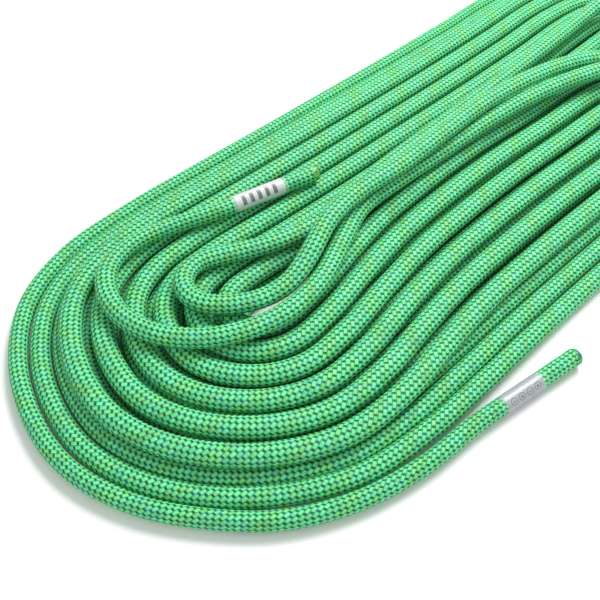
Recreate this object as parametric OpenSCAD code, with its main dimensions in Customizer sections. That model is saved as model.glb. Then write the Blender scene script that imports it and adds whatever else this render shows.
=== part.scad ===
// Hank of kernmantle rope: one continuous length laid in three layers of
// oval laps, with both ends free.
// Frame: origin on the ground under the middle of the whole hank, +X along the
// hank away from the small eye, +Y towards the back leg, +Z up.  Millimetres.

/* [Rope] */

// Outside diameter of the rope
rope_d = 9.8; // [8:0.1:11]
// Inside diameter of the braided sheath
bore_d = 7.5; // [6:0.1:8.5]
// Diameter of one core strand
strand_d = 2.1; // [1.6:0.1:2.3]
// Radius of the ring the outer core strands lie on
strand_ring = 2.3; // [2:0.05:2.6]
// Facets around the laid laps
lap_sides = 8; // [6:2:12]

/* [Layers] */

// Height of the middle layer above the ground layer in the legs
mid_rise = 9.9; // [9.8:0.1:11]
// Height of the top layer above the ground layer
top_rise = 20; // [19.8:0.1:21]
// Extra height of the top laps where they ride up near the front leg
ride_rise = 10.2; // [9.8:0.1:12]
// Extra height of the middle layer where layers swap lanes
swap_rise = 1.2; // [0.8:0.1:2]
// Inward sweep of the middle layer along the front leg, in lanes
sweep_lanes = 1; // [0:0.1:1]

/* [Far turn] */

// X of the centre of the far turn, in the layout tables
far_x = 325; // [300:1:420]
// Radius of the outer guide in the far turn
far_outer_r = 120; // [116:1:126]
// Radius of the inner guide in the far turn
far_inner_r = 12; // [11:0.5:16]

/* [Free ends] */

// Gap between neighbouring links of a free end
link_gap = 2.8; // [2:0.1:4]
// Length of the printed band label near end A
label_a_l = 25; // [15:1:34]
// Length of the printed band label near end B
label_b_l = 32; // [15:1:38]
// Length of rope past label A, with the fused tip
past_a = 29.6; // [20:0.1:40]
// Length of rope past label B, with the fused tip
past_b = 24.5; // [15:0.1:40]
// Length of the fused tips
tip_l = 5; // [3:0.5:8]
// Overlap of the clear sleeves past each end of the label
sleeve_over = 2; // [1:0.5:5]

/* [Hidden] */

$fn = 96;
strand_sides = 32;

rope_r = rope_d / 2;
origin_x = 143.06;     // where the origin lies in the layout tables
origin_y = -4.46;

sheath_color = [0.30, 0.76, 0.46];
core_color = [0.93, 0.92, 0.88];
tape_color = [0.95, 0.45, 0.2];
sleeve_color = [0.9, 0.95, 0.97, 0.4];
label_a_color = [0.82, 0.84, 0.85];
label_b_color = [0.9, 0.9, 0.88];
tip_a_color = [0.12, 0.48, 0.36];
tip_b_color = [0.5, 0.62, 0.2];

// ---- Stations and laps ----
// Each lap has stations 0 to 30: from the far turn along the front leg, round
// the small-eye end, back along the back leg, then round the far turn.
lap_stations = 31;
far_first = 23;        // first station of the far turn
far_stations = lap_stations - far_first;
far_mid = far_first + far_stations / 2;
far_step = 180 / far_stations;
far_outer_y = 0.5;     // table y of the guide centres in the far turn
far_inner_y = 4;

start_station = 10;    // where the first lap meets free end A
end_station = 16;      // where the last lap meets free end B

outer_lane = 9;        // lane on the outer guide
inner_lane = -1;       // lane on the inner guide
mid_lane = -0.5;       // first lane of the middle layer
mid_pitch = 1.4;       // lanes between middle laps

ground_laps = outer_lane - inner_lane + 1;
middle_laps = 6;
top_laps = 2;
last_ground_lap = ground_laps - 1;
last_middle_lap = last_ground_lap + middle_laps;
last_lap = last_middle_lap + top_laps;

// [layer, lane] of every lap, from free end A to free end B
LAPS = [
  for (k = [0:ground_laps - 1]) [0, outer_lane - k],
  for (k = [0:middle_laps - 1]) [1, mid_lane + mid_pitch * k],
  for (k = [1:top_laps]) [2, k]];

// global station numbers where the ground and middle lengths end
ground_end = last_ground_lap * lap_stations + far_mid;
middle_end = last_middle_lap * lap_stations + far_mid;

// ---- Layout tables, [x, y] ----
// outer guide, stations 0 to 22
OUTER = [[325,-118], [262,-117.5], [205,-117.5], [160,-117.5], [112,-117.5], [64,-117.5],
  [22,-118], [-18,-117.5], [-59,-111], [-93,-94], [-122,-69], [-143,-38],
  [-153.5,-2], [-149.5,36], [-134.5,71], [-111,98], [-76,114], [-28,119],
  [30,119], [86,118.5], [136,118.5], [186,118.5], [262,119.5]];
// inner guide, stations 0 to 22
INNER = [[325,-8], [266,1], [205,0], [160,2], [112,1], [66,-2],
  [30,-6], [0,-8], [-29.3,-7.5], [-32.4,-6.2], [-34.9,-4], [-36.9,-1.1],
  [-38,3], [-37.6,7.1], [-36.2,10.4], [-33,13.7], [-28.9,15.6], [-22,16],
  [20,14.2], [80,13], [136,13], [186,13], [262,14]];
// top laps from station 1: lane 1 to station 22, lane 2 to the end station
TOP = [
  [[264,5.5], [214,14.5], [175,17.5], [132,15.5], [92,13.3], [58,14],
    [30,9.5], [8,0.8], [-12,-3.8], [-30,-1], [-45,8.5], [-53.5,18.5],
    [-55,28], [-49.5,37.8], [-38,42], [-20,35], [2,25], [28,19.5],
    [64,23.5], [112,27], [186,31], [262,34]],
  [[264,-9], [214,4.5], [168,10.5], [128,12.2], [92,12.8], [58,11.2],
    [32,0], [4,-12.6], [-22,-17], [-46,-12.5], [-68,0], [-82.5,18],
    [-88,38], [-85,56], [-73,72], [-52,77]]];

// ---- Height and sweep tables ----
// centre heights of top lanes 1 and 2 above the ground, at stations 0 and 1
TOP_START_Z = [[26.7, 31.5], [33.7, 30.8]];
// shares of ride_rise for top lanes 1 and 2 from station 2, then zero
RIDE = [[1, 1, 1, 1, 1, 0.97, 0.58, 0.1], [0.45, 0.2]];
// extra height of the top layer at the last station before the far turn
top_entry_rise = 2.8;
// shares of the inward sweep from station 0, then zero
SWEEP = [0, 0.7, 1, 1, 1, 0.95, 0.7, 0.25, 0.04];

// Far turn tables: [share of the turn, lane, height above the ground layer]
swap_z = mid_rise + swap_rise;
// climb from the ground layer to the middle layer
CLIMB = [[0, inner_lane, 0], [0.125, -1.12, 0.6], [0.25, -1.25, 2.2],
  [0.375, -1.34, 4.2], [0.5, -1.36, 6.6], [0.625, -1.24, 8.8],
  [0.75, -1.02, 10.8], [0.875, -0.75, 11.2], [1, mid_lane, swap_z]];
// crossing from the middle layer to the top layer
CROSS = [[0, mid_lane + mid_pitch * (middle_laps - 1), swap_z],
  [0.125, 6.7, 15], [0.25, 6.6, 21.2], [1, 1, 21.7]];
// first top lap hopping over that crossing: [share of the turn, height]
HOP = [[0, 25.8], [0.125, 29.6], [0.25, 32], [0.875, 32.1], [1, 28.8]];

// ---- Rope path ----
function to_frame(xy, z) = [xy[0] - origin_x, xy[1] - origin_y, z];
function on_arc(i, r, y) = let (a = 90 - far_step * (i - far_first))
  [far_x + r * cos(a), y + r * sin(a)];
function outer_xy(i) = i < far_first ? OUTER[i] : on_arc(i, far_outer_r, far_outer_y);
function inner_xy(i) = i < far_first ? INNER[i] : on_arc(i, far_inner_r, far_inner_y);
function lane_xy(i, lane) =
  inner_xy(i) + (outer_xy(i) - inner_xy(i)) * (lane - inner_lane) / (outer_lane - inner_lane);

function share(list, k) = k < len(list) ? list[k] : 0;
function column(table, c) = [for (row = table) [row[0], row[c]]];

// ground or middle layer height; the middle layer rises in and beside the far turn
function swap_share(i) =
  (i >= far_first || i == 0) ? 1 : (i == 1 || i == far_first - 1) ? 0.5 : 0;
function layer_z(i, layer) =
  rope_r + (layer == 0 ? 0 : mid_rise + swap_rise * swap_share(i));
function top_z(i, lane) =
  i < 2 ? TOP_START_Z[lane - 1][i] :
  rope_r + top_rise
    + (i == far_first - 1 ? top_entry_rise : ride_rise * share(RIDE[lane - 1], i - 2));

// far turn: each lap moves to the lane, and if need be the layer, of the next
function far_point(lap, i) =
  let (
    turn = (i - far_first) / far_stations,
    layer = LAPS[lap][0],
    lane = LAPS[lap][1],
    next = LAPS[lap + 1],
    change = layer == 0 ? CLIMB : CROSS)
  next[0] == layer
    ? to_frame(lane_xy(i, lane + (next[1] - lane) * turn),
        layer < 2 ? layer_z(i, layer) : rope_r + lookup(turn, HOP))
    : to_frame(lane_xy(i, lookup(turn, column(change, 1))),
        rope_r + lookup(turn, column(change, 2)));
function leg_point(lap, i) =
  let (layer = LAPS[lap][0], lane = LAPS[lap][1])
  layer < 2
    ? to_frame(lane_xy(i, lane - (layer == 1 ? sweep_lanes * share(SWEEP, i) : 0)),
        layer_z(i, layer))
    : to_frame(i == 0 ? lane_xy(0, lane) : TOP[lane - 1][i - 1], top_z(i, lane));
function path_point(lap, i) = i >= far_first ? far_point(lap, i) : leg_point(lap, i);
// points between two global station numbers
function path(first, last) =
  [for (k = [first:last]) path_point(floor(k / lap_stations), k % lap_stations)];

// ---- Tube along a path ----
seam_gap = 0.1;        // each layer stops this far short of the seam

function unit(v) = v / norm(v);
function direction(P, k) = unit(unit(P[k] - P[k - 1]) + unit(P[k + 1] - P[k]));
function ring(centre, along, r, n) =
  let (side = unit(cross(along, [0, 0, 1])), up = cross(side, along))
  [for (j = [0:n - 1]) let (a = 360 * (j + 0.5) / n) centre + r * (cos(a) * side + sin(a) * up)];
// path carried straight on by one more point at its start or end
function extend_start(P) = concat([2 * P[0] - P[1]], P);
function extend_end(P) = concat(P, [2 * P[len(P) - 1] - P[len(P) - 2]]);
// path with its second and second-last points pulled back along the rope
function trim_ends(P, start, end) = let (last = len(P) - 2)
  [for (k = [0:last + 1])
    k == 1 ? P[1] + start * unit(P[2] - P[1]) :
    k == last ? P[k] - end * unit(P[k] - P[k - 1]) :
    P[k]];

// the first and last points only set the direction of the end faces
module tube(P, r, n) {
  rings = len(P) - 2;
  points = [for (k = [1:rings]) each ring(P[k], direction(P, k), r, n)];
  faces = concat(
    [[for (j = [0:n - 1]) j]],
    [for (k = [0:rings - 2]) for (j = [0:n - 1])
      let (a = k * n + j, b = k * n + (j + 1) % n)
      each [[a, a + n, b], [b, a + n, b + n]]],
    [[for (j = [n - 1:-1:0]) (rings - 1) * n + j]]);
  polyhedron(points = points, faces = faces, convexity = 12);
}
module laid_rope(P, start_trim, end_trim) {
  tube(trim_ends(P, start_trim, end_trim), rope_r, lap_sides);
}

// ---- Free ends ----
// link joints, from the coil outwards
TAIL_A = [for (xy = [OUTER[start_station], [-98,-92.5], [-67,-109], [-32,-117.5], [6,-120],
  [76,-129.5]]) to_frame(xy, rope_r)];
TAIL_B = [for (xy = [TOP[1][end_station - 1], [-27.5,73], [-3.5,65], [62.3,50]])
  to_frame(xy, rope_r + top_rise)];

link_start = link_gap / 2;             // sheath face, from the link's joint
core_inset = 0.4;                      // core ends inside the sheath faces
core_start = link_start + core_inset;
tip_sheath_gap = 0.1;                  // gaps between the fused tip and the rope
tip_core_gap = 0.3;
tip_inset = 0.05;                      // tip radius below the rope's
tip_dome_l = 3;
tape_r = 3.1;                          // radius of the tape's middle
tape_t = 0.25;
tape_w = 0.8;
groove_depth = 0.28;                   // groove in the sheath for the label
groove_over = 0.15;                    // groove beyond each end of the label
label_depths = [0.06, 0.22];           // label faces below the rope surface
sleeve_heights = [0.06, 0.2];          // sleeve faces above the rope surface

function link_l(tail, k) = norm(tail[k] - tail[k - 1]);
function end_l(tail) = link_l(tail, len(tail) - 1);

// local frame of link k, counted from 1: +Z along the link from its joint
module on_link(tail, k) {
  along = tail[k] - tail[k - 1];
  translate(tail[k - 1]) rotate([0, 0, atan2(along[1], along[0])]) rotate([0, 90, 0]) children();
}
module on_end(tail) {
  on_link(tail, len(tail) - 1) children();
}
module pipe(z0, z1, outer, inner) {
  translate([0, 0, z0]) difference() {
    cylinder(h = z1 - z0, r = outer);
    translate([0, 0, -1]) cylinder(h = z1 - z0 + 2, r = inner);
  }
}
module strand(z0, z1) {
  cylinder(h = z1 - z0, r = strand_d / 2, $fn = strand_sides);
}
module strands(z0, z1) {
  translate([0, 0, z0]) strand(z0, z1);
  for (k = [0:5]) rotate([0, 0, 60 * k]) translate([strand_ring, 0, z0]) strand(z0, z1);
}

module sheath_link(tail, k) {
  on_link(tail, k) pipe(link_start, link_l(tail, k) - link_start, rope_r, bore_d / 2);
}
module core_link(tail, k) {
  on_link(tail, k) strands(core_start, link_l(tail, k) - core_start);
}
// pieces of the end link; "past" is the length of rope beyond the label
module sheath_end(tail, past, label_l) {
  label_z = end_l(tail) - past;
  on_end(tail) difference() {
    pipe(link_start, end_l(tail) - tip_l - tip_sheath_gap, rope_r, bore_d / 2);
    pipe(label_z - label_l - groove_over, label_z + groove_over,
      rope_r + 1, rope_r - groove_depth);
  }
}
module core_end(tail) {
  on_end(tail) strands(core_start, end_l(tail) - tip_l - tip_core_gap);
}
// tape as long as the core, in the valley between two outer strands
module tape_end(tail) {
  on_end(tail) rotate([0, 0, 30])
    translate([tape_r - tape_t / 2, -tape_w / 2, core_start])
      cube([tape_t, tape_w, end_l(tail) - tip_l - tip_core_gap - core_start]);
}
module label_end(tail, past, label_l) {
  label_z = end_l(tail) - past;
  on_end(tail)
    pipe(label_z - label_l, label_z, rope_r - label_depths[0], rope_r - label_depths[1]);
}
module sleeve_end(tail, past, label_l) {
  label_z = end_l(tail) - past;
  on_end(tail) pipe(label_z - label_l - sleeve_over, label_z + sleeve_over,
    rope_r + sleeve_heights[1], rope_r + sleeve_heights[0]);
}
// cylinder with a flattened dome
module tip_end(tail) {
  tip_r = rope_r - tip_inset;
  on_end(tail) translate([0, 0, end_l(tail) - tip_l]) rotate_extrude()
    intersection() {
      square([rope_r, tip_l]);
      union() {
        square([tip_r, tip_l - tip_dome_l]);
        translate([0, tip_l - tip_dome_l]) scale([1, tip_dome_l / tip_r]) circle(r = tip_r);
      }
    }
}

// ---- Nodes ----
module coil_ground_layer() {
  color(sheath_color)
    laid_rope(extend_start(path(start_station, ground_end + 1)), link_start, seam_gap);
}
module coil_middle_layer() {
  color(sheath_color) laid_rope(path(ground_end - 1, middle_end + 1), seam_gap, seam_gap);
}
module coil_top_layer() {
  color(sheath_color)
    laid_rope(extend_end(path(middle_end - 1, last_lap * lap_stations + end_station)),
      seam_gap, link_start);
}

module tail_a_sheath_1() { color(sheath_color) sheath_link(TAIL_A, 1); }
module tail_a_sheath_2() { color(sheath_color) sheath_link(TAIL_A, 2); }
module tail_a_sheath_3() { color(sheath_color) sheath_link(TAIL_A, 3); }
module tail_a_sheath_4() { color(sheath_color) sheath_link(TAIL_A, 4); }
module tail_a_sheath_5() { color(sheath_color) sheath_end(TAIL_A, past_a, label_a_l); }
module tail_a_core_1() { color(core_color) core_link(TAIL_A, 1); }
module tail_a_core_2() { color(core_color) core_link(TAIL_A, 2); }
module tail_a_core_3() { color(core_color) core_link(TAIL_A, 3); }
module tail_a_core_4() { color(core_color) core_link(TAIL_A, 4); }
module tail_a_core_5() { color(core_color) core_end(TAIL_A); }
module tail_a_marker_tape() { color(tape_color) tape_end(TAIL_A); }
module tail_a_label() { color(label_a_color) label_end(TAIL_A, past_a, label_a_l); }
module tail_a_sleeve() { color(sleeve_color) sleeve_end(TAIL_A, past_a, label_a_l); }
module tail_a_tip() { color(tip_a_color) tip_end(TAIL_A); }

module tail_b_sheath_1() { color(sheath_color) sheath_link(TAIL_B, 1); }
module tail_b_sheath_2() { color(sheath_color) sheath_link(TAIL_B, 2); }
module tail_b_sheath_3() { color(sheath_color) sheath_end(TAIL_B, past_b, label_b_l); }
module tail_b_core_1() { color(core_color) core_link(TAIL_B, 1); }
module tail_b_core_2() { color(core_color) core_link(TAIL_B, 2); }
module tail_b_core_3() { color(core_color) core_end(TAIL_B); }
module tail_b_marker_tape() { color(tape_color) tape_end(TAIL_B); }
module tail_b_label() { color(label_b_color) label_end(TAIL_B, past_b, label_b_l); }
module tail_b_sleeve() { color(sleeve_color) sleeve_end(TAIL_B, past_b, label_b_l); }
module tail_b_tip() { color(tip_b_color) tip_end(TAIL_B); }

coil_ground_layer();
coil_middle_layer();
coil_top_layer();
tail_a_sheath_1();
tail_a_sheath_2();
tail_a_sheath_3();
tail_a_sheath_4();
tail_a_sheath_5();
tail_a_core_1();
tail_a_core_2();
tail_a_core_3();
tail_a_core_4();
tail_a_core_5();
tail_a_marker_tape();
tail_a_label();
tail_a_sleeve();
tail_a_tip();
tail_b_sheath_1();
tail_b_sheath_2();
tail_b_sheath_3();
tail_b_core_1();
tail_b_core_2();
tail_b_core_3();
tail_b_marker_tape();
tail_b_label();
tail_b_sleeve();
tail_b_tip();
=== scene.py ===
"""A hank of braided rope lying flat on the floor.

The hank is a long oval with its length along X. Its wide far turn is at +X and its near turn
at -X. Seen from above the rope runs clockwise: along the -Y leg towards -X, round the near
turn, back along the +Y leg and round the far turn. It is wound in three layers. End A lies on
the floor outside the -Y leg, end B lies on top. Each end has a printed label under a clear
sleeve and a fused tip. The floor is at z = 0.
"""
import bpy
import math
import numpy as np
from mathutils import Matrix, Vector


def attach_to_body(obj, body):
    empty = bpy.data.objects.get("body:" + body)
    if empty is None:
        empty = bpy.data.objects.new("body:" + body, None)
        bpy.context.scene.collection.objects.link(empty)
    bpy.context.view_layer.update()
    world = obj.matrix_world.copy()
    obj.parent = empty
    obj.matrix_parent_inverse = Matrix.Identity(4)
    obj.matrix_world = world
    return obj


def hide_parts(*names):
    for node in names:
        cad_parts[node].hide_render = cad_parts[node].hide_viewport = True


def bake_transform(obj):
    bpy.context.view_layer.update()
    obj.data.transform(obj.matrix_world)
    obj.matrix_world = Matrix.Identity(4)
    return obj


MM = 0.001  # all lengths are millimetres unless a comment says otherwise


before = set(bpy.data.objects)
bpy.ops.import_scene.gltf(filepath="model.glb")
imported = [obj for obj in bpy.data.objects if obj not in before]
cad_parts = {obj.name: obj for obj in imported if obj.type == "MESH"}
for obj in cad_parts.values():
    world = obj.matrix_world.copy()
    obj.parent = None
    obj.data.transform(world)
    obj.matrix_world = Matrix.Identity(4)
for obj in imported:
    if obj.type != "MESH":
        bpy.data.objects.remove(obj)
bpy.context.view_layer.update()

# ---------------------------------------------------------------- rope layout
ROPE_R = 4.9
MID_X, MID_Y = 143.06, -4.46        # the part's origin in the coordinates of the guide tables
MID_RISE, TOP_RISE = 9.9, 20.0      # middle and top layer above the ground layer
SWAP_RISE = 1.2                     # extra height of the middle layer in the far turn
RIDE_RISE = 10.2                    # extra height where a top lap rides over other laps
TOP_EXIT_RISE = 2.8                 # extra height of a top lap just before the far turn

# A lap has 31 stations: 0 to 22 along the legs and the near turn, 23 to 30 in the far turn.
LAP_STATIONS = 31
TURN_START = 23
TURN_STATIONS = LAP_STATIONS - TURN_START
LAST_STATION = 16                   # the last lap ends here and end B begins
FIRST_STATION = 11                  # end A ends just before this station of the first lap
TURN_X = 325.0
OUTER_TURN_Y, OUTER_TURN_R = 0.5, 120.0
INNER_TURN_Y, INNER_TURN_R = 4, 12.0

# x, y at stations 0 to 22
OUTER_GUIDE = [
    [325, -118], [262, -117.5], [205, -117.5], [160, -117.5], [112, -117.5], [64, -117.5],
    [22, -118], [-18, -117.5], [-59, -111], [-93, -94], [-122, -69], [-143, -38], [-153.5, -2],
    [-149.5, 36], [-134.5, 71], [-111, 98], [-76, 114], [-28, 119], [30, 119], [86, 118.5],
    [136, 118.5], [186, 118.5], [262, 119.5]]
INNER_GUIDE = [
    [325, -8], [266, 1], [205, 0], [160, 2], [112, 1], [66, -2], [30, -6], [0, -8],
    [-29.3, -7.5], [-32.4, -6.2], [-34.9, -4], [-36.9, -1.1], [-38, 3], [-37.6, 7.1],
    [-36.2, 10.4], [-33, 13.7], [-28.9, 15.6], [-22, 16], [20, 14.2], [80, 13], [136, 13],
    [186, 13], [262, 14]]
# x, y of the two top laps from station 1 on
TOP_PATHS = [
    [[264, 5.5], [214, 14.5], [175, 17.5], [132, 15.5], [92, 13.3], [58, 14], [30, 9.5],
     [8, 0.8], [-12, -3.8], [-30, -1], [-45, 8.5], [-53.5, 18.5], [-55, 28], [-49.5, 37.8],
     [-38, 42], [-20, 35], [2, 25], [28, 19.5], [64, 23.5], [112, 27], [186, 31], [262, 34]],
    [[264, -9], [214, 4.5], [168, 10.5], [128, 12.2], [92, 12.8], [58, 11.2], [32, 0],
     [4, -12.6], [-22, -17], [-46, -12.5], [-68, 0], [-82.5, 18], [-88, 38], [-85, 56],
     [-73, 72], [-52, 77]]]
# z of each top lap at stations 0 and 1
TOP_START_Z = [[26.7, 31.5], [33.7, 30.8]]
# share of RIDE_RISE for each top lap from station 2 on
TOP_RIDE = [[1, 1, 1, 1, 1, 0.97, 0.58, 0.1] + [0] * 12, [0.45, 0.2] + [0] * 13]
# lanes by which the middle layer shifts inwards at stations 0 to 22
MIDDLE_SWAY = [0, 0.7, 1, 1, 1, 0.95, 0.7, 0.25, 0.04] + [0] * 14

# Changes in the far turn: share of the turn, lane, height above the ground layer
CLIMB_TO_MIDDLE = [
    [0, -1, 0], [0.125, -1.12, 0.6], [0.25, -1.25, 2.2], [0.375, -1.34, 4.2], [0.5, -1.36, 6.6],
    [0.625, -1.24, 8.8], [0.75, -1.02, 10.8], [0.875, -0.75, 11.2], [1, -0.5, 11.1]]
CROSS_TO_TOP = [[0, 6.5, 11.1], [0.125, 6.7, 15], [0.25, 6.6, 21.2], [1, 1, 21.7]]
# Hop between the top laps: share of the turn, height above the ground layer
TOP_HOP = [[0, 25.8], [0.125, 29.6], [0.25, 32], [0.875, 32.1], [1, 28.8]]

# layer and lane of each lap; lane -1 is the inner guide and lane 9 the outer one
GROUND, MIDDLE, TOP = 0, 1, 2
LAPS = ([(GROUND, 9 - k) for k in range(11)] + [(MIDDLE, 1.4 * k - 0.5) for k in range(6)]
        + [(TOP, 1), (TOP, 2)])

# x, y of the free ends, in the order the rope runs
END_A = [[76, -129.5], [6, -120], [-32, -117.5], [-67, -109], [-98, -92.5], [-122, -69]]
END_B = [[-27.5, 73], [-3.5, 65], [62.3, 50]]


def mix(a, b, t):
    return [a[0] + (b[0] - a[0]) * t, a[1] + (b[1] - a[1]) * t]


def guide_point(guide, turn_y, turn_r, index):
    """Guide table on the legs and near turn, half circle in the far turn."""
    if index < TURN_START:
        return guide[index]
    angle = math.radians(90 - 180 / TURN_STATIONS * (index - TURN_START))
    return [TURN_X + turn_r * math.cos(angle), turn_y + turn_r * math.sin(angle)]


def lane_point(index, lane):
    inner = guide_point(INNER_GUIDE, INNER_TURN_Y, INNER_TURN_R, index)
    outer = guide_point(OUTER_GUIDE, OUTER_TURN_Y, OUTER_TURN_R, index)
    return mix(inner, outer, (lane + 1) / 10)


def look_up(table, share, column):
    columns = np.array(table, float)
    return np.interp(share, columns[:, 0], columns[:, column])


def layer_z(index, layer):
    """Height of the ground or middle layer at a station."""
    if layer == GROUND:
        return ROPE_R
    if index >= TURN_START or index == 0:
        swap = 1
    else:
        swap = 0.5 if index in (1, TURN_START - 1) else 0
    return ROPE_R + MID_RISE + SWAP_RISE * swap


def turn_station(lap, index):
    """Point in the far turn, where the rope shifts to the next lap's lane or layer."""
    layer, lane = LAPS[lap]
    next_layer, next_lane = LAPS[lap + 1]
    share = (index - TURN_START) / TURN_STATIONS
    if next_layer == layer:
        z = ROPE_R + look_up(TOP_HOP, share, 1) if layer == TOP else layer_z(index, layer)
        return [*lane_point(index, lane + (next_lane - lane) * share), z]
    change = CLIMB_TO_MIDDLE if layer == GROUND else CROSS_TO_TOP
    return [*lane_point(index, look_up(change, share, 1)), ROPE_R + look_up(change, share, 2)]


def top_station(lane, index):
    """Point of a top lap outside the far turn."""
    which = lane - 1
    point = lane_point(0, lane) if index == 0 else TOP_PATHS[which][index - 1]
    if index < 2:
        z = TOP_START_Z[which][index]
    elif index == TURN_START - 1:
        z = ROPE_R + TOP_RISE + TOP_EXIT_RISE
    else:
        z = ROPE_R + TOP_RISE + RIDE_RISE * TOP_RIDE[which][index - 2]
    return [*point, z]


def station(lap, index):
    layer, lane = LAPS[lap]
    if index >= TURN_START:
        return turn_station(lap, index)
    if layer == TOP:
        return top_station(lane, index)
    sway = MIDDLE_SWAY[index] if layer == MIDDLE else 0
    return [*lane_point(index, lane - sway), layer_z(index, layer)]


# control points from tip A, through every lap, to tip B
stations = [divmod(k, LAP_STATIONS) for k in
            range(FIRST_STATION, (len(LAPS) - 1) * LAP_STATIONS + LAST_STATION + 1)]
path_a = [END_A[0], mix(END_A[0], END_A[1], 0.35), mix(END_A[0], END_A[1], 0.7)] + END_A[1:]
path_b = END_B[:2] + [mix(END_B[1], END_B[2], 0.33), mix(END_B[1], END_B[2], 0.67), END_B[2]]
control = np.array([[*p, ROPE_R] for p in path_a] + [station(*where) for where in stations]
                   + [[*p, ROPE_R + TOP_RISE] for p in path_b]) - [MID_X, MID_Y, 0]
COIL_START = len(path_a)                        # control index of the first station
COIL_END = COIL_START + len(stations) - 1       # control index of the last station

# ---------------------------------------------------------------- centre line
SPLINE_STEPS = 24       # samples between two control points
RING_STEP = 0.775       # nominal distance between rings of the skin
SMOOTHING = 5.0         # standard deviation of the smoothing along the rope


def spline(points, steps):
    """Smooth curve through the points, with tangents weighted by their spacing."""
    points = np.vstack([2 * points[0] - points[1], points, 2 * points[-1] - points[-2]])
    before, start, end, after = points[:-3], points[1:-2], points[2:-1], points[3:]
    gap_before = np.linalg.norm(start - before, axis=1)[:, None] + 1e-9
    gap = np.linalg.norm(end - start, axis=1)[:, None] + 1e-9
    gap_after = np.linalg.norm(after - end, axis=1)[:, None] + 1e-9
    leave = ((start - before) / gap_before * gap + (end - start) / gap * gap_before)
    leave = leave / (gap_before + gap)
    arrive = ((end - start) / gap * gap_after + (after - end) / gap_after * gap)
    arrive = arrive / (gap + gap_after)
    samples = []
    for j in range(steps):
        t = j / steps
        samples.append((2 * t**3 - 3 * t * t + 1) * start + (t**3 - 2 * t * t + t) * gap * leave
                       + (-2 * t**3 + 3 * t * t) * end + (t**3 - t * t) * gap * arrive)
    return np.vstack([np.stack(samples, 1).reshape(-1, 3), points[-2:-1]])


def arc_lengths(points):
    steps = np.linalg.norm(np.diff(points, axis=0), axis=1)
    return np.concatenate([[0], np.cumsum(steps)])


def smooth(points, sigma):
    """Gaussian smoothing that keeps the ends; sigma is in samples."""
    reach = int(3 * sigma)
    weights = np.exp(-0.5 * (np.arange(-reach, reach + 1) / sigma) ** 2)
    weights /= weights.sum()
    padded = np.vstack([2 * points[0] - points[reach:0:-1], points,
                        2 * points[-1] - points[-2:-reach - 2:-1]])
    return np.stack([np.convolve(padded[:, c], weights, mode="valid") for c in range(3)], 1)


def unit(vectors):
    return vectors / np.linalg.norm(vectors, axis=-1, keepdims=True)


curve = spline(control, SPLINE_STEPS)
curve_arc = arc_lengths(curve)
ring_count = int(round(curve_arc[-1] / RING_STEP)) + 1
even_arc = np.linspace(0, curve_arc[-1], ring_count)
centre_line = np.stack([np.interp(even_arc, curve_arc, curve[:, c]) for c in range(3)], 1)
centre_line = smooth(centre_line, SMOOTHING / (curve_arc[-1] / (ring_count - 1)))
ring_arc = arc_lengths(centre_line)
total = ring_arc[-1]
control_arc = np.interp(curve_arc[::SPLINE_STEPS], even_arc, ring_arc)
centre_line[:, 2] = np.maximum(centre_line[:, 2], ROPE_R)   # never below the floor

tangent = unit(np.gradient(centre_line, axis=0))
side = unit(np.cross(tangent, np.array([0, 0, 1.0])))       # to the right of the rope's run
up = np.cross(side, tangent)

# slow natural twist of the braid along the rope, in radians
TWIST_SPAN = 180.0      # distance between random twist rates
TWIST_RATE = 1.1        # largest twist over one span
rates = np.random.default_rng(7).uniform(-1, 1, int(total / TWIST_SPAN) + 4)
twist = np.cumsum(np.interp(ring_arc, np.arange(len(rates)) * TWIST_SPAN, rates))
twist = twist * (total / len(ring_arc)) / TWIST_SPAN * TWIST_RATE

# laps in the coil are squeezed a little wider than they are high
LAYER_WIDTH = (1.13, 1.27, 1.18)
LAYER_HEIGHT = (0.99, 0.97, 0.97)
FIRST_LAP_WIDTH = 1.04
control_width = np.ones(len(control))
control_height = np.ones(len(control))
for place, (lap, _) in enumerate(stations[:-1]):
    layer = LAPS[lap][0]
    control_height[COIL_START + place] = LAYER_HEIGHT[layer]
    if place >= 2:      # the first two stations keep the round width of end A
        control_width[COIL_START + place] = FIRST_LAP_WIDTH if lap == 0 else LAYER_WIDTH[layer]
ring_width = np.interp(ring_arc, control_arc, control_width)
ring_height = np.interp(ring_arc, control_arc, control_height)

# ---------------------------------------------------------------- end fittings, distances
TIP_LENGTH = 5.0
TIP_OVERLAP = 1.2       # length of skin inside the fused tip
LABEL_A = (29.6, 29.6 + 25.0)                   # start and end along the rope
LABEL_B = (total - 24.5 - 32.0, total - 24.5)
LABEL_OUTER, LABEL_INNER = ROPE_R * 0.985, ROPE_R * 0.955
SLEEVE_OUTER, SLEEVE_INNER = ROPE_R + 0.2, ROPE_R + 0.06
SLEEVE_MARGIN = 2       # sleeve beyond each end of the label
WAIST = 0.94            # share of the radius left under a label
WAIST_TAPER = 1.2       # half the length of the taper into the waist

# ---------------------------------------------------------------- meshes
REPEATS = 12                                # braid repeats round the rope
AROUND = 4 * REPEATS                        # skin vertices in a ring
PITCH = 4 * total / (ring_count - 1)        # one braid repeat along the rope, four rings
BRAID_BUMP = 0.3                            # height of the braid's bulges


def ring_index(arc):
    return int(round(arc / total * (ring_count - 1)))


def waist_scale(arc, label):
    """1 outside the label, WAIST under it, with short tapers."""
    rise = np.clip((arc - (label[0] - WAIST_TAPER)) / (2 * WAIST_TAPER), 0, 1)
    fall = np.clip(((label[1] + WAIST_TAPER) - arc) / (2 * WAIST_TAPER), 0, 1)
    rise = rise * rise * (3 - 2 * rise)
    fall = fall * fall * (3 - 2 * fall)
    return 1 - (1 - WAIST) * np.minimum(rise, fall)


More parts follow.
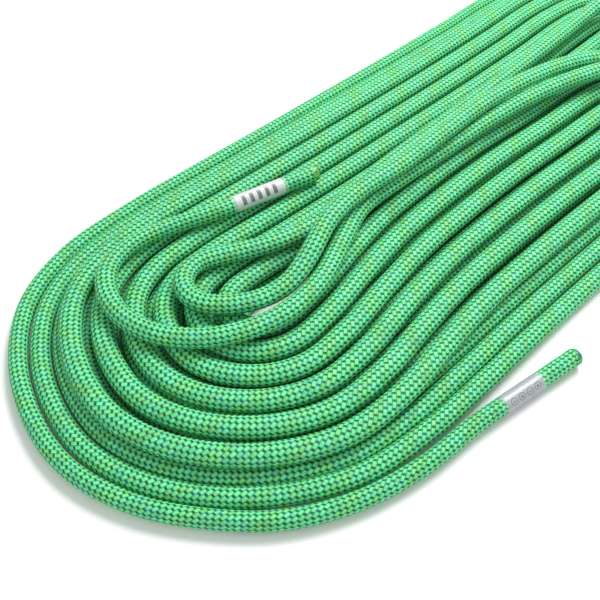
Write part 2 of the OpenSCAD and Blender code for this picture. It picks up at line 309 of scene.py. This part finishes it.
def braid_height(i, j):
    """Bulge of a plain braid at ring i and vertex j, four samples to a repeat each way."""
    wave = (np.cos(np.pi * j / 2) - np.cos(np.pi * i / 2)) / 2
    return np.where(wave > 0, wave, -0.4 * wave)


def ring_quads(starts, ends, around):
    """Quads between pairs of rings, given the ring numbers on either side."""
    j = np.arange(around)
    following = (j + 1) % around
    start, end = starts[:, None] * around, ends[:, None] * around
    return np.stack([start + j, start + following, end + following, end + j],
                    -1).reshape(-1, 4)


def quad_uvs(u_start, u_end, v_low, v_high):
    """UVs for the corners of ring_quads."""
    corners = np.broadcast_arrays(u_start, u_start, u_end, u_end, v_low, v_high, v_high, v_low)
    uvs = np.stack([np.stack(corners[:4], -1), np.stack(corners[4:], -1)], -1)
    return uvs.astype(np.float32)


def add_object(name, mesh):
    mesh.polygons.foreach_set("use_smooth", np.ones(len(mesh.polygons), bool))
    mesh.update()
    piece = bpy.data.objects.new(name, mesh)
    bpy.context.scene.collection.objects.link(piece)
    return piece


def bake_uvs(first, last):
    """Strip layout for baking: the length is folded into rows."""
    length = ring_arc[last] - ring_arc[first]
    girth = 2 * np.pi * ROPE_R
    rows = max(1, int(math.ceil(math.sqrt(length / (girth * 1.12)))))
    per_row = int(math.ceil((last - first) / rows))
    segment = np.arange(last - first)[:, None]
    row = segment // per_row
    column = segment - row * per_row
    height = 1.0 / rows
    base = row * height + 0.03 * height
    j = np.arange(AROUND)
    uvs = quad_uvs(column / per_row, (column + 1) / per_row,
                   base + j / AROUND * height * 0.94, base + (j + 1) / AROUND * height * 0.94)
    return uvs * 0.996 + 0.002


def build_skin(name, first, last, label=None):
    """Braided skin from one ring to another, drawn in under the label if there is one."""
    rings = np.arange(first, last + 1)
    j = np.arange(AROUND)
    angle = 2 * np.pi * j[None, :] / AROUND + twist[rings][:, None]
    radius = (ROPE_R - BRAID_BUMP * 0.75) + BRAID_BUMP * braid_height(rings[:, None], j[None, :])
    if label is not None:
        radius = radius * waist_scale(ring_arc[rings], label)[:, None]
    across = (np.cos(angle) * ring_width[rings][:, None])[..., None] * side[rings][:, None, :]
    upward = (np.sin(angle) * ring_height[rings][:, None])[..., None] * up[rings][:, None, :]
    points = centre_line[rings][:, None, :] + radius[..., None] * (across + upward)
    verts = (points.reshape(-1, 3) * MM).astype(np.float32)
    segments = np.arange(last - first)
    quads = ring_quads(segments, segments + 1, AROUND)

    mesh = bpy.data.meshes.new(name)
    mesh.vertices.add(len(verts))
    mesh.vertices.foreach_set("co", verts.ravel())
    mesh.loops.add(len(quads) * 4)
    mesh.loops.foreach_set("vertex_index", quads.ravel().astype(np.int32))
    mesh.polygons.add(len(quads))
    mesh.polygons.foreach_set("loop_start", (np.arange(len(quads)) * 4).astype(np.int32))
    mesh.polygons.foreach_set("loop_total", np.full(len(quads), 4, np.int32))
    # weave coordinates: u in units of 100 mm along, v in turns round
    u = (rings * (PITCH / 4) / 100.0)[:, None]
    weave = mesh.uv_layers.new(name="weave")
    weave.data.foreach_set("uv", quad_uvs(u[:-1], u[1:], j / AROUND, (j + 1) / AROUND).ravel())
    bake = mesh.uv_layers.new(name="OFBake")
    bake.data.foreach_set("uv", bake_uvs(first, last).ravel())
    mesh.update(calc_edges=True)
    mesh.validate()
    return add_object(name, mesh)


def frame_at(arc):
    """Centre, tangent, side and up at a distance along the rope."""
    centre, *axes = [np.array([np.interp(arc, ring_arc, table[:, c]) for c in range(3)])
                     for table in (centre_line, tangent, side, up)]
    return [centre] + [unit(axis) for axis in axes]


def section(centre, across, upward, radius, angle):
    """Points round a centre."""
    return centre + np.outer(radius * np.cos(angle), across) \
        + np.outer(radius * np.sin(angle), upward)


def build_shell(name, start, end, outer, inner, wobble=0.0):
    """Closed thin sleeve; its UVs are millimetres along and turns round."""
    around, samples = 96, 60
    edge = 0.35                                     # length of the rounded rim
    out = np.linspace(start, end, samples)
    depth = np.clip(np.minimum(out - start, end - out) / edge, 0, 1)
    outer_radii = inner + (outer - inner) * np.sqrt(1 - (1 - depth) ** 2)
    outer_radii = np.maximum(outer_radii, inner + 0.01)
    arcs = np.concatenate([out, out[::-1]])         # out along the outside, back inside
    radii = np.concatenate([outer_radii, np.full(samples, inner)])

    j = np.arange(around)
    angle = 2 * math.pi * j / around
    rings = []
    for arc, radius in zip(arcs, radii):
        centre, _, across, upward = frame_at(arc)
        uneven = radius * (1 + wobble * np.sin(3 * angle + arc * 0.7) * 0.5
                           + wobble * np.sin(5 * angle - arc * 1.3) * 0.3)
        rings.append(section(centre, across, upward, uneven, angle))
    numbers = np.arange(len(arcs))
    quads = ring_quads(numbers, np.roll(numbers, -1), around)
    along = (arcs - start)[:, None]
    uvs = quad_uvs(along, np.roll(along, -1, axis=0), j / around, (j + 1) / around)
    mesh = bpy.data.meshes.new(name)
    mesh.from_pydata((np.vstack(rings) * MM).tolist(), [], quads.tolist())
    mesh.uv_layers.new(name="print").data.foreach_set("uv", uvs.ravel())
    return add_object(name, mesh)


def build_tip(name, base, end, seed):
    """Fused end: a rounded plug with an uneven melted surface."""
    around, ring_total = 64, 14
    body = 0.42                                     # share of the length before the dome
    phase = np.random.default_rng(seed).uniform(0, 6.28, 8)
    forward = end > base
    length = abs(end - base)
    centre, outward, across, upward = frame_at(base)
    if not forward:
        outward = -outward
    angle = 2 * math.pi * np.arange(around) / around
    rings = []
    for k in range(ring_total):
        t = k / ring_total
        x = length * t
        if t < body:
            profile = 1.0 - 0.02 * (t / body)
        else:
            profile = 0.98 * math.sqrt(1 - ((t - body) / (1 - body)) ** 2) ** 0.9
        lumps = (0.018 * np.sin(3 * angle + phase[0] + x)
                 + 0.014 * np.sin(5 * angle + phase[1] - 1.7 * x)
                 + 0.01 * np.sin(9 * angle + phase[2] + 2.3 * x))
        shift = x + 0.12 * np.sin(2 * angle + phase[3]) * t
        rings.append(section(centre + np.outer(shift, outward), across, upward,
                             LABEL_OUTER * profile * (1 + lumps), angle))
    rings.append((centre + outward * length)[None, :])

    numbers = np.arange(ring_total - 1)
    faces = ring_quads(numbers, numbers + 1, around).tolist()
    last, apex = (ring_total - 1) * around, ring_total * around
    faces += [[last + j, last + (j + 1) % around, apex] for j in range(around)]
    faces.append(list(range(around))[::-1])
    if not forward:
        faces = [face[::-1] for face in faces]
    mesh = bpy.data.meshes.new(name)
    mesh.from_pydata((np.vstack(rings) * MM).tolist(), [], faces)
    return add_object(name, mesh)


# ---------------------------------------------------------------- materials
def srgb(*channels):
    """Linear colour from sRGB values of 0 to 255."""
    shares = [c / 255.0 for c in channels]
    return tuple(c / 12.92 if c <= 0.04045 else ((c + 0.055) / 1.055) ** 2.4
                 for c in shares) + (1.0,)


class Shader:
    """A material with a Principled shader, and short ways to add nodes to it."""

    def __init__(self, name):
        self.material = bpy.data.materials.new(name)
        self.material.use_nodes = True
        self.tree = self.material.node_tree
        self.tree.nodes.clear()
        output = self.node("ShaderNodeOutputMaterial")
        self.principled = self.node("ShaderNodeBsdfPrincipled")
        self.tree.links.new(self.principled.outputs[0], output.inputs[0])

    def node(self, kind, inputs=None, **settings):
        """Adds a node; inputs maps socket names or numbers to values or sockets."""
        node = self.tree.nodes.new(kind)
        for key, value in settings.items():
            setattr(node, key, value)
        self.fill(node, inputs or {})
        return node

    def fill(self, node, inputs):
        for key, value in inputs.items():
            if isinstance(value, bpy.types.NodeSocket):
                self.tree.links.new(value, node.inputs[key])
            else:
                node.inputs[key].default_value = value

    def set(self, inputs):
        self.fill(self.principled, inputs)

    def math(self, operation, *values, clamp=False):
        return self.node("ShaderNodeMath", dict(enumerate(values)), operation=operation,
                         use_clamp=clamp).outputs[0]

    def add(self, a, b):
        return self.math("ADD", a, b)

    def sub(self, a, b):
        return self.math("SUBTRACT", a, b)

    def mul(self, a, b):
        return self.math("MULTIPLY", a, b)

    def vary(self, value, base, by):
        """base + value * by"""
        return self.add(base, self.mul(value, by))

    def mix(self, factor, a, b, blend="MIX"):
        return self.node("ShaderNodeMix", {0: factor, 6: a, 7: b}, data_type="RGBA",
                         blend_type=blend).outputs[2]

    def step(self, value, low, high):
        return self.node("ShaderNodeMapRange", {0: value, 1: low, 2: high, 3: 0.0, 4: 1.0},
                         interpolation_type="SMOOTHSTEP").outputs[0]

    def split(self, vector):
        return self.node("ShaderNodeSeparateXYZ", {0: vector}).outputs

    def uv(self, layer):
        return self.node("ShaderNodeUVMap", uv_map=layer).outputs[0]

    def object_coords(self):
        return self.node("ShaderNodeTexCoord").outputs["Object"]

    def noise(self, vector, scale, detail=2.0, dimensions="3D"):
        inputs = {"Vector": vector, "Scale": scale, "Detail": detail}
        return self.node("ShaderNodeTexNoise", inputs, noise_dimensions=dimensions).outputs["Fac"]

    def yarn_random(self, yarn, offset):
        """White noise that repeats every 12 yarns."""
        seed = self.add(self.math("MODULO", yarn, 12.0), offset)
        return self.node("ShaderNodeTexWhiteNoise", {"W": seed}, noise_dimensions="1D").outputs

    def bump(self, height, strength, distance):
        """Bump on the surface; distance is in metres."""
        inputs = {"Strength": strength, "Distance": distance, "Height": height}
        self.set({"Normal": self.node("ShaderNodeBump", inputs).outputs[0]})


MINT, LIME = srgb(110, 224, 154), srgb(126, 210, 100)   # pale strokes
SLOT_SHADE_TEAL, SLOT_SHADE_AQUA = srgb(0, 90, 56), srgb(6, 100, 108)         # painted shade in the slots, tinted teal or aqua by yarn
STROKE_EDGE_SHADE = srgb(20, 144, 84)                             # painted shade between the strokes, where the yarns curve down


def rope_material():
    """Two opposed sets of yarns in a braid: pale slanted strokes crossed by dark slots of painted
    shade.
    """
    g = Shader("sheath_braid")
    weave = g.split(g.uv("weave"))
    along = g.mul(weave[0], 100.0)                                  # millimetres
    repeats_along = g.add(g.math("DIVIDE", along, PITCH), 400.0)    # offset keeps it positive
    repeats_round = g.mul(weave[1], float(REPEATS))
    sum_ = g.add(repeats_along, repeats_round)
    difference = g.sub(repeats_along, repeats_round)
    dark_yarn, pale_yarn = g.math("FLOOR", sum_), g.math("FLOOR", difference)
    dark_across, pale_across = g.sub(sum_, dark_yarn), g.sub(difference, pale_yarn)
    dark_on_top = g.math("MODULO", g.add(dark_yarn, pale_yarn), 2.0)
    # 0 in the middle of a yarn, 1 at its edges
    dark_edge = g.math("ABSOLUTE", g.sub(g.mul(dark_across, 2.0), 1.0))
    pale_edge = g.math("ABSOLUTE", g.sub(g.mul(pale_across, 2.0), 1.0))

    # masks; the powers set how sharply each fades towards its edges
    stroke = g.sub(1.0, g.math("POWER", pale_edge, 2.2))
    # the slot mask marks where painted shade darkens the braid's slots
    shaded_slot = g.math("MULTIPLY", g.sub(1.0, g.math("POWER", dark_edge, 0.9)),
                  g.sub(1.0, g.math("POWER", pale_edge, 4.0)), clamp=True)
    shaded_slot = g.mul(g.step(shaded_slot, low=0.14, high=0.52), dark_on_top)

    # some yarns of each set have a second colour; the offsets keep lookups off whole numbers
    pale_random = g.split(g.yarn_random(pale_yarn, offset=0.37)["Color"])[0]
    stitch = g.node("ShaderNodeCombineXYZ", {0: g.add(dark_yarn, 0.37), 1: g.add(pale_yarn, 0.71)})
    stitch_noise = g.node("ShaderNodeTexWhiteNoise", {"Vector": stitch.outputs[0]},
                          noise_dimensions="2D")
    stitch_random = g.split(stitch_noise.outputs["Color"])[2]
    lime_share = g.mul(g.step(pale_random, low=0.70, high=0.72), 0.5)
    color = g.mix(lime_share, MINT, LIME)
    dark_random = g.yarn_random(dark_yarn, offset=0.61)["Value"]
    # painted shade for the slots, tinted teal or aqua by dark yarn
    dark = g.mix(g.step(dark_random, low=0.6, high=0.62), SLOT_SHADE_TEAL, SLOT_SHADE_AQUA)

    # four filaments across a yarn, as a wave from 0 to 1
    filament = g.math("SINE", g.mul(pale_across, 2 * math.pi * 4))
    filament = g.add(g.mul(filament, 0.5), 0.5)

    # brightness varies by stitch, by filament and slowly along the rope
    light = g.vary(stitch_random, base=0.84, by=0.30)
    light = g.mul(light, g.vary(filament, base=0.90, by=0.14))
    slow = g.node("ShaderNodeTexNoise", {"W": g.mul(along, 0.012)}, noise_dimensions="1D")
    light = g.mul(light, g.vary(slow.outputs["Fac"], base=0.90, by=0.2))
    grey = g.node("ShaderNodeCombineXYZ", {0: light, 1: light, 2: light}).outputs[0]
    color = g.mix(1.0, color, grey, blend="MULTIPLY")
    # painted shade at the edges of the pale strokes, between the yarns
    color = g.mix(g.step(stroke, low=0.02, high=0.62), STROKE_EDGE_SHADE, color)
    # the slots get painted shade
    color = g.mix(shaded_slot, color, dark)
    g.set({"Base Color": color,
           "Roughness": g.sub(0.60, g.mul(stroke, 0.12)),   # strokes shine a little more
           "Specular IOR Level": 0.3,
           "Sheen Weight": 0.06,
           "Sheen Roughness": 0.4,
           "Sheen Tint": (0.6, 1.0, 0.75, 1.0)})
    # strokes stand up, slots cut into them, filaments are a fine ripple
    height = g.add(g.mul(stroke, g.sub(1.0, g.mul(shaded_slot, 0.7))), g.mul(filament, 0.06))
    g.bump(height, strength=0.8, distance=0.00035)
    return g.material


def yarn_material():
    g = Shader("core_yarn")
    inputs = {"Vector": g.object_coords(), "Scale": 900.0, "Distortion": 1.5}
    wave = g.node("ShaderNodeTexWave", inputs, wave_type="BANDS",
                  bands_direction="DIAGONAL").outputs["Fac"]
    g.set({"Base Color": g.mix(wave, srgb(205, 200, 186), srgb(244, 242, 234)),
           "Roughness": 0.7,
           "Sheen Weight": 0.3})
    g.bump(wave, strength=0.6, distance=0.0002)
    return g.material


def tape_material():
    g = Shader("marker_tape")
    noise = g.noise(g.object_coords(), scale=1200.0)
    g.set({"Base Color": g.mix(noise, srgb(222, 110, 60), srgb(244, 150, 84)),
           "Roughness": 0.5})
    return g.material


def tip_material(name, dark, light):
    """Melted fibre: glossy patches and pits."""
    g = Shader(name)
    coords = g.object_coords()
    noise = g.noise(coords, scale=420.0, detail=5.0)
    pits = g.node("ShaderNodeTexVoronoi", {"Vector": coords, "Scale": 900.0}).outputs["Distance"]
    g.set({"Base Color": g.mix(g.step(noise, low=0.35, high=0.65), dark, light),
           "Roughness": g.vary(noise, base=0.28, by=0.35),
           "Coat Weight": 0.25})
    g.bump(g.vary(pits, base=noise, by=0.5), strength=0.7, distance=0.0003)
    return g.material


def sleeve_material():
    g = Shader("clear_sleeve")
    noise = g.noise(g.object_coords(), scale=180.0)
    g.set({"Base Color": (0.97, 0.99, 1.0, 1),
           "Roughness": g.vary(noise, base=0.06, by=0.1),
           "Alpha": 0.07,
           "Specular IOR Level": 0.9,
           "Coat Weight": 0.6,
           "Coat Roughness": 0.08})
    g.bump(noise, strength=0.25, distance=0.0003)
    return g.material


def band(g, value, low, high, soft=0.05):
    """Mask that is 1 between low and high."""
    above = g.step(value, low - soft, low + soft)
    below = g.sub(1.0, g.step(value, high - soft, high + soft))
    return g.mul(above, below)


def repeat_round(g, y, offset, period, middle):
    """Distance round the label from the middle of the nearest print row."""
    return g.sub(g.math("MODULO", g.add(y, offset), period), middle)


def ring_marks(g, x, y):
    """Four rings in a row, with a dot or a dash inside, three times round the label."""
    across = repeat_round(g, y, offset=24.717, period=10.262, middle=5.131)
    first, pitch = 4.4, 5.4
    for k in range(4):
        along = g.sub(x, first + pitch * k)
        distance = g.math("SQRT", g.add(g.mul(along, along), g.mul(across, across)))
        yield band(g, distance, low=1.75, high=2.1)
        if k % 2 == 0:
            yield g.sub(1.0, g.step(distance, low=0.65, high=0.75))
        else:
            yield g.mul(band(g, along, -0.9, 0.9), band(g, across, -0.22, 0.22))


def bar_marks(g, x, y):
    """Five bars in a row, twice round the label."""
    across = repeat_round(g, y, offset=34.286, period=15.393, middle=7.7)
    first, pitch, width, half_height = 4.2, 5.0, 2.4, 3.0
    for k in range(5):
        start = first + pitch * k
        yield g.mul(band(g, x, start, start + width), band(g, across, -half_height, half_height))


def label_material(name, base, ink, marks, worn, metallic):
    g = Shader(name)
    uv = g.uv("print")
    turns = g.split(uv)
    x = turns[0]                                    # millimetres along
    y = g.mul(turns[1], 2 * math.pi * ROPE_R)       # millimetres round
    noise = g.noise(uv, scale=1.4, detail=4.0, dimensions="2D")
    printed = None
    for mark in marks(g, x, y):
        printed = mark if printed is None else g.math("MAXIMUM", printed, mark)
    if worn:
        printed = g.mul(printed, g.step(noise, low=0.12, high=0.30))
    brighter = tuple(min(1, c * 1.12) for c in base[:3]) + (1,)
    paper = g.mix(noise, base, brighter)
    ink_cover = 0.92
    g.set({"Base Color": g.mix(g.mul(printed, ink_cover), paper, ink),
           "Roughness": g.vary(noise, base=0.32, by=0.2),
           "Metallic": metallic})
    g.bump(noise, strength=0.3, distance=0.0002)
    return g.material


def floor_material():
    g = Shader("floor_paper")
    noise = g.noise(g.object_coords(), scale=6.0)
    g.set({"Base Color": g.mix(noise, (0.93, 0.93, 0.93, 1), (0.96, 0.96, 0.96, 1)),
           "Roughness": 0.95,
           "Specular IOR Level": 0.1})
    return g.material


ROPE = rope_material()
YARN = yarn_material()
TAPE = tape_material()
TIP_A = tip_material("fused_tip_a", dark=srgb(14, 112, 72), light=srgb(44, 158, 96))
TIP_B = tip_material("fused_tip_b", dark=srgb(48, 128, 56), light=srgb(128, 186, 84))


# ---------------------------------------------------------------- rope skins
def attach(piece, material, body, node):
    """Gives a piece its material, the body it moves with and the CAD node it replaces."""
    piece.data.materials.append(material)
    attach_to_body(piece, body)
    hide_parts(node)


def add_end_skin(end, number, rings, hinge, half, label):
    """Skin between the rings, drawn in under the label if there is one; hinge and half only give a
    reach that is not used.
    """
    piece = build_skin("end_%s_skin_%d" % (end, number), *rings, label=label)
    piece.data.materials.append(ROPE)
    reach = centre_line[hinge + 4] - centre_line[hinge - 4]
    reach = reach / np.linalg.norm(reach) * half * MM
    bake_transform(piece)
    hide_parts("tail_%s_sheath_%d" % (end, number))


# hinges, counted from the coil outwards
hinges_a = [ring_index(control_arc[COIL_START - 1 - k]) for k in range(5)]
hinges_b = [ring_index(control_arc[COIL_END + k]) for k in range(3)]

# laps are cut at station 0, in the -Y leg
cuts = [hinges_a[0] + ring_index(14.0)]
cuts += [ring_index(control_arc[COIL_START + n * LAP_STATIONS - FIRST_STATION])
         for n in range(1, len(LAPS))]
cuts.append(hinges_b[0] - ring_index(12.0))
LAYER_NODES = ("coil_ground_layer", "coil_middle_layer", "coil_top_layer")
for n, (layer, _) in enumerate(LAPS):
    lap_skin = build_skin("rope_lap_%02d" % (n + 1), cuts[n], cuts[n + 1])
    attach(lap_skin, ROPE, "coil", LAYER_NODES[layer])

# end skins run from the middle of one link to the middle of the next
links_a = ["coil"] + ["tail_a_link_%d" % k for k in range(1, 6)]
joints_a = [cuts[0]] + [(a + b) // 2 for a, b in zip(hinges_a, hinges_a[1:])]
joints_a.append(ring_index(TIP_LENGTH - TIP_OVERLAP))
for k in range(5):
    # rings run from tip A towards the coil, so the outer link comes first
    add_end_skin("a", k + 1, rings=(joints_a[k + 1], joints_a[k]), hinge=hinges_a[k],
                 half=10.0, label=LABEL_A if k == 4 else None)

links_b = ["coil"] + ["tail_b_link_%d" % k for k in range(1, 4)]
joints_b = [cuts[-1]] + [(a + b) // 2 for a, b in zip(hinges_b, hinges_b[1:])]
joints_b.append(ring_index(total - TIP_LENGTH + TIP_OVERLAP))
for k in range(3):
    add_end_skin("b", k + 1, rings=(joints_b[k], joints_b[k + 1]), hinge=hinges_b[k],
                 half=9.0, label=LABEL_B if k == 2 else None)

# ---------------------------------------------------------------- labels, sleeves, tips
SLEEVE = sleeve_material()
FILM_A = label_material("label_film_a", base=srgb(150, 156, 160), ink=srgb(66, 72, 76),
                        marks=ring_marks, worn=True, metallic=0.15)
FILM_B = label_material("label_film_b", base=srgb(196, 199, 198), ink=srgb(22, 24, 26),
                        marks=bar_marks, worn=False, metallic=0.0)


def fit_end(end, body, label, film, tip, tip_look, seed):
    """Label, sleeve and fused tip of one end; label and tip are pairs of distances."""
    piece = build_shell("end_%s_label" % end, *label, LABEL_OUTER, LABEL_INNER)
    attach(piece, film, body, "tail_%s_label" % end)
    piece = build_shell("end_%s_sleeve" % end, label[0] - SLEEVE_MARGIN, label[1] + SLEEVE_MARGIN,
                        SLEEVE_OUTER, SLEEVE_INNER, wobble=0.004)
    attach(piece, SLEEVE, body, "tail_%s_sleeve" % end)
    piece = build_tip("end_%s_fused_tip" % end, *tip, seed)
    attach(piece, tip_look, body, "tail_%s_tip" % end)


fit_end("a", links_a[-1], LABEL_A, FILM_A, (TIP_LENGTH, 0.0), TIP_A, seed=3)
fit_end("b", links_b[-1], LABEL_B, FILM_B, (total - TIP_LENGTH, total), TIP_B, seed=5)

# CAD pieces that are kept
for name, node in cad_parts.items():
    kept_look = YARN if "core" in name else TAPE if "tape" in name else None
    if kept_look is not None:
        node.data.materials.clear()
        node.data.materials.append(kept_look)

# ---------------------------------------------------------------- stage, in metres
CAMERA_ELEVATION = math.radians(49.0)
CAMERA_HEIGHT = 0.356
HANK_TURN = math.radians(43.5)      # the hank's X axis, turned from the view's right to its back

bpy.ops.mesh.primitive_plane_add(size=12, location=(0, 0, -0.0004))
floor = bpy.context.active_object
floor.name = "studio_floor"
floor.data.materials.append(floor_material())


def from_view(x, y, z):
    """Part coordinates of a point given as right, away from the camera and up."""
    cos, sin = math.cos(HANK_TURN), math.sin(HANK_TURN)
    return Vector((x * cos + y * sin - MID_X * MM, -x * sin + y * cos - MID_Y * MM, z))


def place(thing, location, target):
    """Links a camera or light and points it at the target."""
    bpy.context.scene.collection.objects.link(thing)
    thing.location = from_view(*location)
    direction = from_view(*target) - thing.location
    thing.rotation_euler = direction.to_track_quat("-Z", "Y").to_euler()


def area_light(name, location, size, power):
    light = bpy.data.lights.new(name, "AREA")
    light.shape = "RECTANGLE"
    light.size, light.size_y = size
    light.energy = power
    lamp = bpy.data.objects.new(name, light)
    place(lamp, location, target=(0, 0, 0.01))
    lamp.visible_camera = False


lens = bpy.data.cameras.new("camera")
lens.sensor_width = 36.0
lens.lens = 51.0
lens.clip_start = 0.01
lens.clip_end = 30
camera = bpy.data.objects.new("camera", lens)
place(camera, (0, -CAMERA_HEIGHT / math.tan(CAMERA_ELEVATION), CAMERA_HEIGHT), target=(0, 0, 0))
bpy.context.scene.camera = camera

area_light("key", location=(0.35, 0.55, 0.95), size=(0.7, 0.5), power=14.0)
area_light("fill", location=(-0.9, -0.5, 0.9), size=(1.2, 1.0), power=1.6)
area_light("front", location=(0.4, -1.1, 0.8), size=(1.2, 0.8), power=2.2)

world = bpy.data.worlds.new("studio")
bpy.context.scene.world = world
world.use_nodes = True
background = world.node_tree.nodes["Background"]
background.inputs["Color"].default_value = (1, 1, 1, 1)
background.inputs["Strength"].default_value = 0.55
bpy.context.scene.view_settings.view_transform = "Standard"
bpy.context.scene.view_settings.exposure = 0.0
